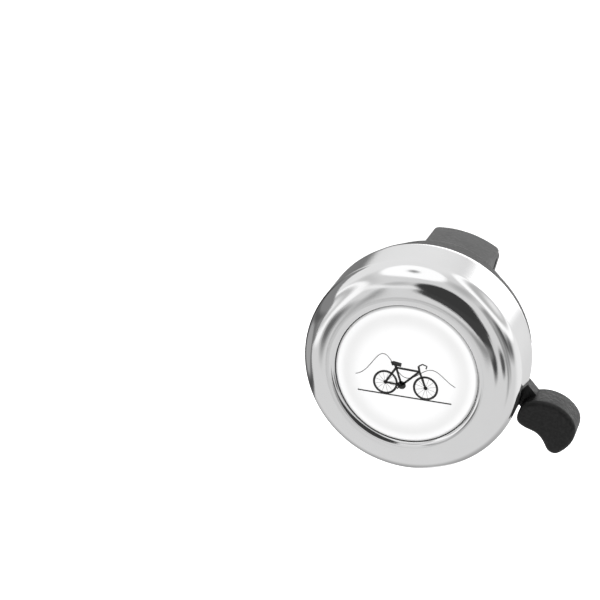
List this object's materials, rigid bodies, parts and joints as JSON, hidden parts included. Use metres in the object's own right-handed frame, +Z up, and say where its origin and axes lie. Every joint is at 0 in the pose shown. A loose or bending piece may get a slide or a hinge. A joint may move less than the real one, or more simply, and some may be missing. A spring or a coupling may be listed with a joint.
{
  "type": "bicycle bell",
  "caption": "Handlebar bell: chromed dome over a geared striker, rung by a sprung thumb lever, on a two-part clamp.",
  "frame": {"origin": "middle of the handlebar's bore, where the clamp grips it", "axes": "+X along the handlebar towards the thumb lever, +Z up the bell's axis towards the dome"},
  "size_m": [0.0692, 0.0544, 0.0546],
  "materials": {
    "chrome": "polished",
    "zinc_steel": "zinc plated",
    "clapper_steel": "tumbled",
    "spring_steel": "drawn wire",
    "brass": "machined",
    "gear_nylon": "moulded",
    "badge_white": "gloss",
    "adhesive_foam": "matt",
    "black_plastic": "satin",
    "lever_plastic": "fine spark texture",
    "black_rubber": "matt"
  },
  "bodies": {
    "bell_body": {"gong_dome": "chrome", "dome_threaded_boss": "zinc_steel", "striking_studs": "zinc_steel", "badge_disc": "badge_white", "badge_adhesive": "adhesive_foam", "base_housing": "black_plastic", "centre_post": "zinc_steel", "post_retaining_clip": "zinc_steel", "rotor_thrust_washer": "zinc_steel", "dome_lock_nut": "zinc_steel", "idler_pin": "zinc_steel", "lever_pivot_pin": "zinc_steel", "lever_return_spring": "spring_steel", "gear_bridge_plate": "zinc_steel", "bridge_plate_screws": "zinc_steel", "clamp_jaw": "black_plastic", "clamp_screws": "zinc_steel", "clamp_washers": "zinc_steel", "clamp_nuts": "zinc_steel", "bar_liner_upper": "black_rubber", "bar_liner_lower": "black_rubber"},
    "lever": {"thumb_lever": "lever_plastic"},
    "idler": {"idler_gear": "gear_nylon"},
    "rotor": {"rotor_pinion": "brass", "striker_bar": "zinc_steel", "striker_rivets": "zinc_steel"},
    "clapper_a": {"clapper_a": "clapper_steel"},
    "clapper_b": {"clapper_b": "clapper_steel"}
  },
  "joints": [
    {"name": "lever_hinge", "type": "hinge", "parent": "bell_body", "child": "lever", "pos_m": [0.0155, 0.0047, 0.018], "axis": [0, 0, 1], "range_deg": [0, 34], "stiffness_Nm_per_rad": 0.12, "springref_deg": -17.19, "deforming": ["lever_return_spring"]},
    {"name": "idler_spin", "type": "hinge", "parent": "bell_body", "child": "idler", "pos_m": [0.00207, 0.01182, 0.018], "axis": [0, 0, 1], "range_deg": [-127.6, 0]},
    {"name": "rotor_spin", "type": "hinge", "parent": "bell_body", "child": "rotor", "pos_m": [0, 0, 0.02], "axis": [0, 0, 1], "range_deg": [0, 255.2]},
    {"name": "clapper_a_slide", "type": "slide", "parent": "rotor", "child": "clapper_a", "axis": [-0.5, 0.866, 0], "range_m": [0, 0.0006]},
    {"name": "clapper_b_slide", "type": "slide", "parent": "rotor", "child": "clapper_b", "axis": [0.5, -0.866, 0], "range_m": [0, 0.0006]}
  ],
  "couplings": [
    {"joint": "idler_spin", "follows": "lever_hinge", "ratio": -3.75},
    {"joint": "rotor_spin", "follows": "lever_hinge", "ratio": 7.5}
  ]
}
